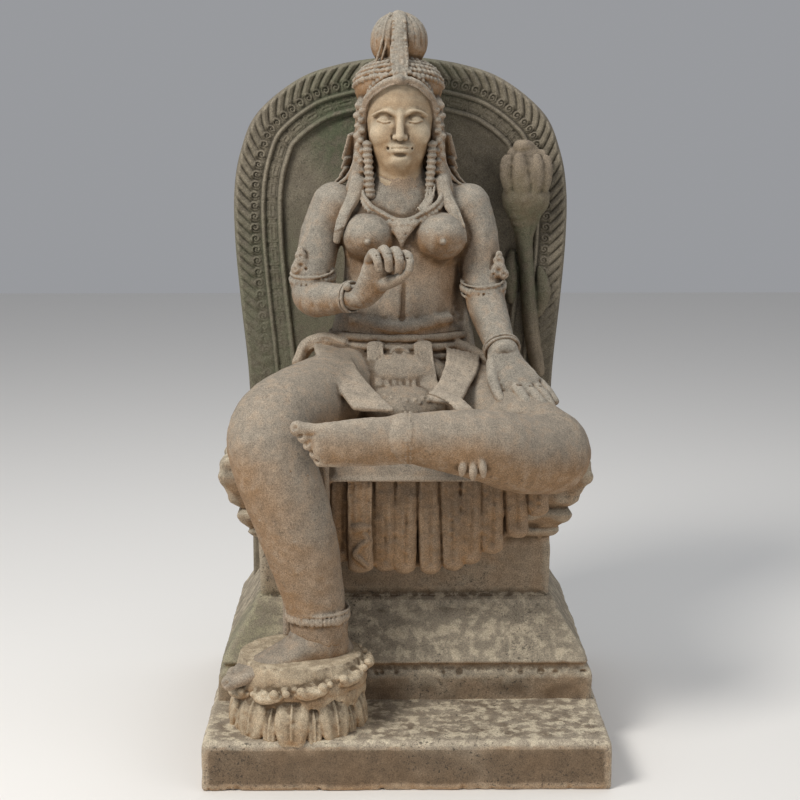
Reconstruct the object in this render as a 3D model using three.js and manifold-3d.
import * as THREE from "three";
import { mergeVertices } from "three/addons/utils/BufferGeometryUtils.js";
import Module from "manifold-3d";

const wasm = await Module();
wasm.setup();

// Driving sizes in millimetres. The origin is the middle of the underside, +Z is up, and the
// figure looks along -Y with its right hand on the -X side.
const PLINTH_HALF = 400;
const DEPTH_HALF = 415;
const PLINTH_FRONT = 6 - DEPTH_HALF;
const PLINTH_BACK = DEPTH_HALF;
const PLINTH_TOP = 99.5;
const SEAT_TOP = 604;
const PANEL_FACE = 278;
const BORDER_FACE = 272;
const SLAB_BACK = 360;
const MIDLINE = -8;

// Directions that name the wide side of a limb's cross-section.
const X = new THREE.Vector3(1, 0, 0);
const Y = new THREE.Vector3(0, 1, 0);
const Z = new THREE.Vector3(0, 0, 1);

// Joining and cutting

/** A solid from a closed three.js geometry. */
function solid(geometry) {
  const bare = geometry.clone();
  bare.deleteAttribute("normal");
  bare.deleteAttribute("uv");
  const merged = mergeVertices(bare, 1e-3);
  const corners = merged.index.array;
  const kept = [];
  for (let i = 0; i < corners.length; i += 3) {
    const [a, b, c] = corners.slice(i, i + 3);
    if (a !== b && b !== c && c !== a) kept.push(a, b, c);
  }
  return new wasm.Manifold(new wasm.Mesh({
    numProp: 3,
    vertProperties: Float32Array.from(merged.attributes.position.array),
    triVerts: Uint32Array.from(kept),
  }));
}

/** All the solids of a list joined into one. */
function join(solids) {
  return solids.reduce((whole, next) => whole.add(next));
}

/** The body without sealed pockets: the shell that holds the most. */
function outerShell(body) {
  return body.decompose().reduce((largest, next) => (next.volume() > largest.volume() ? next : largest));
}

/** A three.js geometry from a solid. */
function geometryOf(body) {
  const mesh = body.getMesh();
  const geometry = new THREE.BufferGeometry();
  geometry.setAttribute("position", new THREE.BufferAttribute(new Float32Array(mesh.vertProperties), 3));
  geometry.setIndex(new THREE.BufferAttribute(new Uint32Array(mesh.triVerts), 1));
  geometry.computeVertexNormals();
  return geometry;
}

// Basic forms

/** A smooth curve through points given as [x, y, z]. */
function curve(points) {
  const vectors = points.map(([x, y, z]) => new THREE.Vector3(x, y, z ?? 0));
  return new THREE.CatmullRomCurve3(vectors, false, "catmullrom", 0.5);
}

/**
 * A closed limb through stations [x, y, z, half width, half thickness]. The width lies along
 * the direction `wide`, `steps` rings are made between two stations, and `ends` says how far
 * each end bulges, as a share of its thinner radius, with 0 for a flat end.
 */
function limb(stations, sides, { wide = X, steps = 1, ends = [1, 1] } = {}) {
  const centres = curve(stations);
  const radii = curve(stations.map(([, , , a, b]) => [a, b ?? a, 0]));
  const count = (stations.length - 1) * steps;
  const rings = [];
  for (let i = 0; i <= count; i += 1) rings.push({ t: i / count, reach: 0, shrink: 1 });
  for (const angle of sides > 9 ? [0.7, 1.25] : [1]) {
    if (ends[0] > 0) rings.unshift({ t: 0, reach: -ends[0] * Math.sin(angle), shrink: Math.cos(angle) });
    if (ends[1] > 0) rings.push({ t: 1, reach: ends[1] * Math.sin(angle), shrink: Math.cos(angle) });
  }
  const geometry = new THREE.CylinderGeometry(1, 1, 1, sides, rings.length - 1);
  const place = geometry.attributes.position;
  for (let i = 0; i < place.count; i += 1) {
    const ring = rings[Math.round((0.5 - place.getY(i)) * (rings.length - 1))];
    const along = centres.getTangent(ring.t);
    const across = wide.clone().addScaledVector(along, -wide.dot(along)).normalize();
    const through = along.clone().cross(across);
    const radius = radii.getPoint(ring.t);
    const point = centres.getPoint(ring.t)
      .addScaledVector(along, ring.reach * Math.min(radius.x, radius.y))
      .addScaledVector(across, place.getX(i) * ring.shrink * radius.x)
      .addScaledVector(through, place.getZ(i) * ring.shrink * radius.y);
    place.setXYZ(i, point.x, point.y, point.z);
  }
  return solid(geometry);
}

/** An ellipsoid at [x, y, z] with radii [a, b, c], turned by [about X, Y, Z] degrees. */
function ball(centre, radii, { turn = [0, 0, 0], sides = 6, rows = 4 } = {}) {
  const geometry = new THREE.SphereGeometry(1, sides, rows);
  geometry.rotateX(Math.PI / 2);
  geometry.scale(...radii);
  const [a, b, c] = turn.map(THREE.MathUtils.degToRad);
  geometry.applyMatrix4(new THREE.Matrix4().makeRotationFromEuler(new THREE.Euler(a, b, c)));
  geometry.translate(...centre);
  return solid(geometry);
}

/** A stack of rectangles [z, half width, front, back], from the lowest up. */
function stack(rows) {
  const geometry = new THREE.BoxGeometry(2, 2, 1, 1, 1, rows.length - 1);
  const place = geometry.attributes.position;
  for (let i = 0; i < place.count; i += 1) {
    const [z, half, front, back] = rows[Math.round((place.getZ(i) + 0.5) * (rows.length - 1))];
    place.setXYZ(i, place.getX(i) * half, place.getY(i) < 0 ? front : back, z);
  }
  return solid(geometry);
}

/** A flat plate of an outline of [x, z] points, from the depth `front` back to `back`. */
function plate(outline, front, back) {
  const shape = new THREE.Shape(outline.map(([x, z]) => new THREE.Vector2(x, z)));
  const geometry = new THREE.ExtrudeGeometry(shape, { depth: back - front, bevelEnabled: false });
  geometry.rotateX(Math.PI / 2);
  geometry.translate(0, back, 0);
  return solid(geometry);
}

/** A round bead chain of `count` balls along a curve. */
function beads(points, count, radii, options) {
  const path = curve(points);
  const row = [];
  for (let i = 0; i < count; i += 1) {
    row.push(ball(path.getPointAt((i + 0.5) / count).toArray(), radii, options));
  }
  return join(row);
}

// Throne: plinth, step, sloping course, block and the seat's three rolls

function throne() {
  const plinth = stack([
    [0, PLINTH_HALF, PLINTH_FRONT, PLINTH_BACK],
    [PLINTH_TOP - 6, PLINTH_HALF, PLINTH_FRONT, PLINTH_BACK],
    [PLINTH_TOP, PLINTH_HALF - 6, PLINTH_FRONT + 6, PLINTH_BACK - 6],
  ]);
  const body = stack([
    [PLINTH_TOP - 20, 388, -177, 400],
    [158, 388, -177, 400],
    [166, 376, -168, 388],
    [173, 376, -168, 388],
    [180, 380, -172, 391],
    [272, 320, -98, 366],
    [289, 316, -91, 362],
    [293, 305, -76, 360],
    [420, 307, -76, 360],
    [425, 318, -86, 360],
    [440, 326, -92, 360],
    [444, 322, -89, 360],
    [458, 342, -100, 360],
    [472, 348, -106, 360],
    [486, 343, -102, 360],
    [490, 347, -104, 360],
    [504, 362, -112, 360],
    [519, 363, -112, 360],
    [545, 385, -124, 360],
    [575, 386, -124, 360],
    [SEAT_TOP, 370, -112, 360],
  ]);
  return join([plinth, body]);
}

// Back slab: an outline like a horseshoe, with slanted flutes, two rails and a band between

const HALF_EDGE = [
  [342, 165], [342, 560], [346, 720], [361, 880], [371, 1015], [371, 1126], [355, 1214],
  [318, 1295], [228, 1368], [132, 1402], [0, 1422],
];
const SLAB_MIDDLE = -4;
const FLUTES = 17;
const FLUTE_START = 0.395;
const FLUTE_END = 0.925;
const RAILS = [[62, 70], [100, 108]];

/** A point of the slab's edge, moved inward by `inset` and up along the edge by `slide`. */
function edgePoint(share, side, inset, slide = 0) {
  const edge = curve(HALF_EDGE);
  const point = edge.getPointAt(share);
  const along = edge.getTangentAt(share);
  const x = point.x - along.y * inset + along.x * slide;
  const z = point.y + along.x * inset + along.y * slide;
  return [SLAB_MIDDLE + side * x, z];
}

/** An outline that follows the slab's edge at an inset, right side up and left side down. */
function edgeLine(inset, from, steps) {
  const right = [];
  for (let i = 0; i <= steps; i += 1) right.push(edgePoint(from + (1 - from) * (i / steps), 1, inset));
  right[steps][0] = SLAB_MIDDLE;
  const left = right.slice(0, -1).reverse().map(([x, z]) => [2 * SLAB_MIDDLE - x, z]);
  return [...right, ...left];
}

/** One flute of the border, a slanted leaf that ends in a round curl near the rails. */
function flute(share, side) {
  const [cx, cz] = edgePoint(share, side, 47);
  const [ax, az] = edgePoint(share, side, 5, 24);
  const [bx, bz] = edgePoint(share, side, 5, 40);
  const outline = [[ax, az], [bx, bz]];
  const start = Math.atan2(bz - cz, bx - cx);
  for (let i = 0; i < 3; i += 1) {
    const angle = start + side * (1.1 + i * 2);
    outline.push([cx + 9 * Math.cos(angle), cz + 9 * Math.sin(angle)]);
  }
  if (side < 0) outline.reverse();
  return plate(outline, BORDER_FACE - 9, BORDER_FACE + 4);
}

function slab() {
  const parts = [plate(edgeLine(0, 0, 14), BORDER_FACE, SLAB_BACK)];
  const panel = plate(edgeLine(RAILS[1][1], 0.36, 8), BORDER_FACE - 5, PANEL_FACE);
  for (const [near, far] of RAILS) {
    const line = [...edgeLine(near, 0.37, 8), ...edgeLine(far, 0.37, 8).reverse()];
    parts.push(plate(line, BORDER_FACE - 8, BORDER_FACE + 4));
  }
  for (const side of [-1, 1]) {
    for (let i = 0; i < FLUTES; i += 1) {
      parts.push(flute(FLUTE_START + (FLUTE_END - FLUTE_START) * (i / (FLUTES - 1)), side));
    }
  }
  return join(parts).subtract(panel);
}

// Lotus bud on a tall stem, in relief on the slab beside the figure's left shoulder

const BUD = [272, 244, 1168];

function lotusBud() {
  const [x, y, z] = BUD;
  const parts = [
    limb([[x, y, z - 52, 44, 30], [x, y, z - 20, 56, 38], [x, y, z + 25, 50, 34], [x, y, z + 52, 28, 24]],
      7, { ends: [0.5, 0.4] }),
    limb([[x + 38, y + 30, 720, 16, 22], [x + 22, y + 26, 800, 20, 30], [x + 2, y + 16, 975, 20, 32],
      [x, y + 10, 1030, 26, 34], [x, y + 2, 1106, 53, 42]], 6, { ends: [0, 0] }),
  ];
  for (const [dx, tilt, height] of [[-36, -10, 46], [0, 0, 50], [36, 10, 46]]) {
    parts.push(ball([x + dx, y - 24 + Math.abs(dx) * 0.4, z - 8], [22, 14, height],
      { turn: [0, tilt, 0], sides: 5 }));
  }
  parts.push(ball([x - 6, y - 8, z + 58], [22, 20, 18], { sides: 5 }));
  return join(parts);
}

// Head: face, hair cap, bun, the band of jewels and the locks beside the neck

const CHIN = 1187;
const HAIRLINE = 1352;
const FACE_FRONT = 46;

function face() {
  const third = (HAIRLINE - CHIN) / 3;
  const noseBase = CHIN + third;
  const brow = CHIN + 2 * third;
  const parts = [
    limb([[MIDLINE, 90, CHIN + 8, 30, 37], [MIDLINE, 104, CHIN + 36, 56, 55],
      [MIDLINE, 116, CHIN + 72, 69, 69], [MIDLINE, 126, CHIN + 116, 75, 82],
      [MIDLINE, 134, CHIN + 160, 74, 86], [MIDLINE, 145, CHIN + 195, 50, 62]], 12, { ends: [0.35, 0] }),
    limb([[MIDLINE, FACE_FRONT - 8, noseBase + 8, 11, 12], [MIDLINE, FACE_FRONT - 6, noseBase + 28, 7, 11],
      [MIDLINE, FACE_FRONT + 2, brow - 4, 7, 9]], 5, { ends: [0.6, 0.4] }),
    ball([MIDLINE, FACE_FRONT + 4, CHIN + 40], [22, 9, 5], { rows: 3 }),
    ball([MIDLINE, FACE_FRONT + 7, CHIN + 31], [17, 9, 5], { rows: 3 }),
  ];
  for (const side of [-1, 1]) {
    const x = MIDLINE + side * 31;
    parts.push(ball([x, FACE_FRONT + 17, brow - 13], [17, 11, 9], { turn: [0, side * 4, 0], rows: 3 }));
  }
  return join(parts);
}

function hair() {
  const parts = [
    ball([MIDLINE - 2, 158, 1348], [96, 108, 62], { turn: [-14, 0, 0], sides: 10, rows: 6 }),
    ball([MIDLINE - 1, 150, 1447], [62.5, 62, 63], { sides: 10, rows: 6 }),
    limb([[MIDLINE, 190, 1120, 88, 50], [MIDLINE, 185, 1200, 94, 62], [MIDLINE, 180, 1290, 92, 72]], 8,
      { ends: [0, 0] }),
    limb([[MIDLINE - 1, 110, 1490, 13, 14], [MIDLINE - 1, 88, 1446, 19, 14], [MIDLINE - 1, 72, 1402, 22, 16],
      [MIDLINE, 44, 1364, 14, 14]], 5, { ends: [0, 0.6] }),
    beads([[-86, 108, 1288], [-74, 74, 1335], [-44, 52, 1358], [MIDLINE, 44, 1366], [28, 52, 1358],
      [58, 74, 1335], [70, 108, 1288]], 7, [19, 16, 14], { sides: 5, rows: 3 }),
  ];
  for (const side of [-1, 1]) {
    const away = MIDLINE + side * 77;
    parts.push(limb([[away, 122, 1316, 15, 30], [away + side * 4, 128, 1250, 15, 32],
      [away + side * 6, 126, 1190, 18, 32], [away + side * 16, 108, 1136, 22, 22],
      [MIDLINE + side * 116, 74, 1088, 22, 15], [MIDLINE + side * 136, 62, 1030, 15, 12]], 6,
      { ends: [0, 0] }));
    parts.push(limb([[away, 160, 1230, 8, 50], [MIDLINE + side * 104, 180, 1172, 8, 55],
      [MIDLINE + side * 168, 195, 1126, 6, 50]], 4, { wide: Z, ends: [0, 0] }));
  }
  parts.push(limb([[-78, 100, 1222, 13], [-74, 98, 1180, 13], [-70, 104, 1128, 13]], 5, { ends: [0, 0] }));
  return join(parts);
}

// Trunk with breasts, belly and the web that joins the back to the slab

function trunk() {
  const parts = [
    limb([[MIDLINE, 145, 640, 160, 110], [MIDLINE, 135, 730, 165, 108], [MIDLINE, 125, 815, 150, 94],
      [MIDLINE + 4, 122, 880, 122, 84], [MIDLINE + 8, 128, 950, 118, 78], [MIDLINE + 8, 132, 1030, 136, 82],
      [MIDLINE + 8, 140, 1090, 150, 70], [MIDLINE + 6, 145, 1128, 112, 52]], 12, { ends: [0, 0.3] }),
    limb([[MIDLINE, 132, 1090, 66, 56], [MIDLINE, 124, 1130, 54, 50], [MIDLINE, 118, 1200, 50, 48]], 9,
      { ends: [0, 0] }),
    ball([-72, 78, 1038], [58, 68, 52], { turn: [-14, 0, 0], sides: 9, rows: 6 }),
    ball([78, 78, 1040], [58, 68, 52], { turn: [-14, 0, 0], sides: 9, rows: 6 }),
    stack([[SEAT_TOP - 10, 250, -60, PANEL_FACE + 4], [660, 235, -20, PANEL_FACE + 4],
      [735, 170, 60, PANEL_FACE + 4], [1150, 92, 175, PANEL_FACE + 4], [1330, 60, 190, PANEL_FACE + 4]]),
  ];
  return join(parts);
}

// Arms with armlets and bracelets: the figure's right hand is raised before the chest, the left
// lies on the thigh

const RIGHT_ARM = [[-150, 145, 1098, 52], [-176, 124, 1040, 46], [-190, 98, 974, 44], [-191, 96, 970, 52],
  [-196, 84, 938, 51], [-196, 82, 934, 42], [-186, 58, 908, 40], [-118, -8, 918, 28], [-116, -10, 918, 35],
  [-106, -17, 920, 34], [-104, -19, 920, 27]];
const LEFT_ARM = [[142, 145, 1098, 50], [160, 128, 1040, 44], [168, 109, 950, 43], [168.5, 107, 946, 51],
  [173, 94, 916, 51], [174, 92, 912, 42], [180, 70, 884, 41], [201, -10, 820, 34], [202, -14, 817, 41],
  [206, -28, 808, 41], [206.5, -31, 806, 33]];

function fingers(list, sides) {
  return join(list.map((stations) => limb(stations, sides, { ends: [0, 0] })));
}

function raisedHand() {
  return join([
    limb([[-104, -20, 920, 26, 22], [-84, -32, 925, 27, 21], [-62, -44, 958, 32, 20],
      [-48, -48, 996, 36, 20]], 6, { ends: [0, 0.6] }),
    fingers([
      [[-72, -50, 1003, 11], [-62, -82, 1014, 10], [-50, -92, 990, 8]],
      [[-52, -52, 1010, 11], [-39, -86, 1020, 10], [-30, -94, 992, 8]],
      [[-32, -52, 1010, 11], [-15, -88, 1018, 10], [-8, -94, 992, 8]],
      [[-18, -50, 1000, 11], [9, -80, 1010, 10], [6, -94, 986, 8]],
      [[-44, -46, 955, 15], [-14, -72, 964, 12], [6, -92, 980, 8]],
    ], 4),
  ]);
}

function restingHand() {
  return join([
    limb([[206, -30, 806, 33, 26], [212, -58, 782, 40, 20], [228, -86, 758, 46, 17],
      [242, -100, 742, 44, 15]], 6, { ends: [0, 0] }),
    fingers([
      [[186, -58, 782, 14], [186, -98, 750, 12], [196, -128, 722, 9]],
      [[212, -84, 758, 13], [236, -124, 728, 12], [252, -148, 708, 9]],
      [[234, -88, 754, 13], [264, -124, 726, 12], [284, -142, 706, 9]],
      [[254, -82, 752, 12], [282, -112, 727, 11], [298, -128, 708, 9]],
      [[268, -70, 752, 11], [293, -93, 731, 10], [308, -106, 714, 8]],
    ], 4),
  ]);
}

function arms() {
  return join([
    limb(RIGHT_ARM, 9, { wide: Y, ends: [0.8, 0] }),
    limb(LEFT_ARM, 9, { wide: Y, ends: [0.8, 0] }),
    raisedHand(),
    restingHand(),
  ]);
}

// Legs: the right one hangs to the lotus, the left one is folded across it

const HANGING_LEG = [[-92, 110, 716, 92], [-212, -130, 704, 90], [-262, -232, 686, 84], [-262, -276, 636, 84],
  [-212, -284, 480, 76], [-179, -277, 333, 60], [-178, -277, 330, 67], [-177, -276, 310, 67],
  [-177, -276, 307, 59], [-172, -272, 262, 56]];
const FOLDED_THIGH = [[96, 110, 700, 94], [205, -60, 664, 88], [288, -166, 626, 84]];
const FOLDED_SHIN = [[292, -184, 620, 80], [226, -238, 634, 78], [143, -286, 662, 71],
  [12, -324, 683, 50], [9, -325, 683, 56], [-6, -327, 684, 56], [-9, -327, 684, 49]];

function legs() {
  return join([
    limb(HANGING_LEG, 10, { ends: [0, 0] }),
    limb(FOLDED_THIGH, 10, { wide: Z, ends: [0, 0.8] }),
    limb(FOLDED_SHIN, 10, { wide: Z, ends: [0.7, 0] }),
    stack([[150, 50, -250, -60], [SEAT_TOP + 20, 50, -250, -60]]).translate([-200, 0, 0]),
    stack([[SEAT_TOP - 30, 220, -230, 0], [660, 200, -200, 0]]).translate([20, 0, 0]),
  ]);
}

/** Five toes in a row from `big` to `small`, pointing along `reach`. */
function toes(big, small, reach, length) {
  const row = [];
  for (let i = 0; i < 5; i += 1) {
    const share = i / 4;
    const root = new THREE.Vector3(...big).lerp(new THREE.Vector3(...small), share);
    const radius = i === 0 ? 15 : 12 - i * 0.8;
    const direction = new THREE.Vector3(...reach).normalize();
    const tip = root.clone().addScaledVector(direction, length * (1 - 0.35 * share));
    row.push(limb([[...root.toArray(), radius], [...tip.toArray(), radius * 0.8]], 4, { ends: [0, 0] }));
  }
  return join(row);
}

function feet() {
  return join([
    limb([[-148, -256, 246, 40, 34], [-178, -276, 252, 46, 44], [-236, -296, 236, 46, 32],
      [-290, -314, 222, 46, 24], [-322, -322, 212, 42, 18]], 8, { wide: Y, ends: [0, 0.6] }),
    toes([-318, -352, 210], [-326, -286, 208], [-1, -0.16, -0.16], 30),
    limb([[-8, -326, 680, 48, 42], [-60, -338, 682, 48, 34], [-118, -350, 680, 46, 26],
      [-168, -354, 676, 42, 22]], 8, { wide: Z, ends: [0, 0.6] }),
    toes([-182, -356, 708], [-142, -356, 642], [-1, -0.1, 0.1], 34),
  ]);
}

// Lotus footrest: drooping petals below, a shallow flower with a rim of knobs above

const LOTUS = [-216, -273];
const LOTUS_TILT = -9;

/** Petals in a ring around the lotus, from the middle radius outward and down. */
function petalRing({ count, turn, radius, z, radii, droop }) {
  const petals = [];
  for (let i = 0; i < count; i += 1) {
    const angle = turn + (i / count) * 2 * Math.PI;
    const geometry = new THREE.SphereGeometry(1, 5, 3);
    geometry.rotateX(Math.PI / 2);
    geometry.scale(...radii);
    geometry.rotateY(droop);
    geometry.translate(radius, 0, z);
    geometry.rotateZ(angle);
    geometry.translate(LOTUS[0], LOTUS[1], 0);
    petals.push(solid(geometry));
  }
  return join(petals);
}

function lotusFootrest() {
  const profile = [[0, 90], [96, 90], [108, 160], [136, 184], [128, 202], [0, 206]];
  const heart = new THREE.LatheGeometry(profile.map(([r, z]) => new THREE.Vector2(r, z)), 12);
  heart.rotateX(Math.PI / 2);
  heart.rotateY(THREE.MathUtils.degToRad(LOTUS_TILT));
  heart.translate(LOTUS[0] + 28, LOTUS[1], 3);
  const foot = new THREE.CylinderGeometry(112, 118, 90, 12);
  foot.rotateX(Math.PI / 2);
  foot.translate(LOTUS[0], LOTUS[1], 120);
  const cut = stack([[-200, 900, -900, 900], [PLINTH_TOP - 30, 900, -900, 900]]);
  const lower = petalRing({ count: 9, turn: -0.35, radius: 110, z: 124, radii: [34, 44, 54], droop: 0.42 });
  const knobs = [];
  for (let i = 0; i < 9; i += 1) {
    const angle = (i / 9) * 2 * Math.PI;
    const x = LOTUS[0] + 118 * Math.cos(angle);
    knobs.push(ball([x, LOTUS[1] + 114 * Math.sin(angle), 198 + 0.16 * (x - LOTUS[0])], [30, 30, 15],
      { sides: 5, rows: 3 }));
  }
  const box = stack([0, 400].map((z) => [z, PLINTH_HALF, -DEPTH_HALF, DEPTH_HALF]));
  return join([solid(foot), solid(heart), lower, ...knobs]).subtract(cut).intersect(box);
}

// Dress: belt with its clasp, hanging sashes, garland, pleated cloth on the thighs, apron

function belt() {
  return join([
    limb([[MIDLINE, 126, 776, 162, 103], [MIDLINE, 126, 797, 162, 103], [MIDLINE, 126, 802, 154, 96],
      [MIDLINE, 126, 807, 158, 101], [MIDLINE, 126, 830, 152, 95]], 14, { ends: [0, 0] }),
    ball([-10, 28, 790], [26, 14, 25], { sides: 8, rows: 4 }),
    limb([[-150, 70, 806, 16, 12], [-200, 100, 806, 20, 14], [-226, 80, 764, 16, 14]], 5, { wide: Z }),
    limb([[112, 70, 806, 18, 12], [186, 34, 768, 18, 12]], 5, { wide: Z }),
  ]);
}

/** A flat hanging band through stations, `half` wide, with a thickness of 14. */
function sash(points, half) {
  return limb(points.map((point) => [...point, half, 9]), 4, { ends: [0, 0] });
}

function lap() {
  const parts = [
    limb([[MIDLINE, 40, 690, 120, 74], [MIDLINE, 30, 740, 112, 62]], 8, { ends: [0, 0] }),
    ball([MIDLINE, -20, 690], [105, 96, 52], { sides: 8, rows: 5 }),
    sash([[-61, 30, 812], [-60, 12, 780], [-58, -18, 745], [-56, -62, 704]], 18),
    sash([[40, 30, 812], [44, 12, 780], [50, -14, 748], [54, -40, 727]], 18),
    beads([[-44, -66, 716], [-10, -84, 706], [24, -80, 708], [60, -62, 716]], 4, [20, 15, 14],
      { sides: 5, rows: 3 }),
    sash([[84, -215, 742], [112, -262, 726], [134, -338, 684], [128, -352, 640]], 20),
  ];
  const folds = 3;
  for (let i = 0; i < folds; i += 1) {
    const share = i / (folds - 1);
    parts.push(limb([[-110 - 40 * share, 40, 806 - 14 * share, 9, 12],
      [-124 - 44 * share, -80, 792 - 4 * share, 11, 12],
      [-74 - 26 * share, -190, 716, 10, 12]], 4, { ends: [0, 0] }));
    parts.push(limb([[104 + 34 * share, 20, 790 - 8 * share, 9, 12],
      [104 + 36 * share, -70, 760 - 6 * share, 11, 12],
      [76 + 30 * share, -170, 724, 10, 12]], 4, { ends: [0, 0] }));
  }
  return join(parts);
}

const APRON = { left: -150, right: 292, top: 640, pleats: 8, back: -70 };

/** The apron's wavy front in plan, cut below by an arc that climbs to the right. */
function apron() {
  const { left, right, top, pleats, back } = APRON;
  const plan = [[left, -back], [left, 190]];
  const pitch = (right - left) / pleats;
  for (let i = 0; i < pleats; i += 1) {
    const share = i / pleats;
    const x = left + i * pitch;
    const y = 196 - 44 * share;
    plan.push([x + 0.2 * pitch, y + 12], [x + 0.55 * pitch, y + 14], [x + 0.85 * pitch, y - 12]);
  }
  plan.push([right, -back]);
  const shape = new THREE.Shape(plan.map(([x, y]) => new THREE.Vector2(x, -y)));
  const cloth = new THREE.ExtrudeGeometry(shape, { depth: top - 320, bevelEnabled: false });
  cloth.translate(0, 0, 320);
  const hem = new THREE.SplineCurve([[-150, 400], [-60, 372], [50, 360], [150, 384], [220, 428], [292, 500]]
    .map(([x, z]) => new THREE.Vector2(x, z)));
  const edge = hem.getPoints(10).map(({ x, y }) => [x, y]);
  const outline = [[left - 5, top], ...edge, [right + 5, 520], [right + 5, top]];
  const band = limb([[-92, -206, 620, 26, 12], [-92, -214, 450, 24, 14], [-88, -210, 392, 28, 12]], 4,
    { ends: [0, 0] });
  return join([solid(cloth).intersect(plate(outline, -260, 20)), band]);
}

// Jewels: necklace with its drop

function necklace() {
  const collar = [[-96, 110, 1148], [-80, 74, 1108], [-44, 56, 1078], [MIDLINE + 4, 50, 1066], [38, 56, 1078],
    [76, 74, 1108], [92, 110, 1148]];
  return join([
    limb(collar.map((point) => [...point, 14, 9]), 4, { wide: Z, ends: [0, 0] }),
    limb([[-4, 54, 1078, 32, 14], [-4, 46, 1054, 20, 14], [-4, 44, 1032, 6, 8]], 5, { ends: [0, 0] }),
  ]);
}

const statue = join([
  throne(), slab(), lotusBud(), trunk(), face(), hair(), arms(), legs(), feet(), lotusFootrest(),
  belt(), lap(), apron(), necklace(),
]);

const stone = new THREE.MeshStandardMaterial({ color: 0x8d7f6c, roughness: 0.92, metalness: 0 });
const mesh = new THREE.Mesh(geometryOf(outerShell(statue)), stone);
mesh.name = "tara_statue";

const part = new THREE.Group();
part.add(mesh);

export default part;
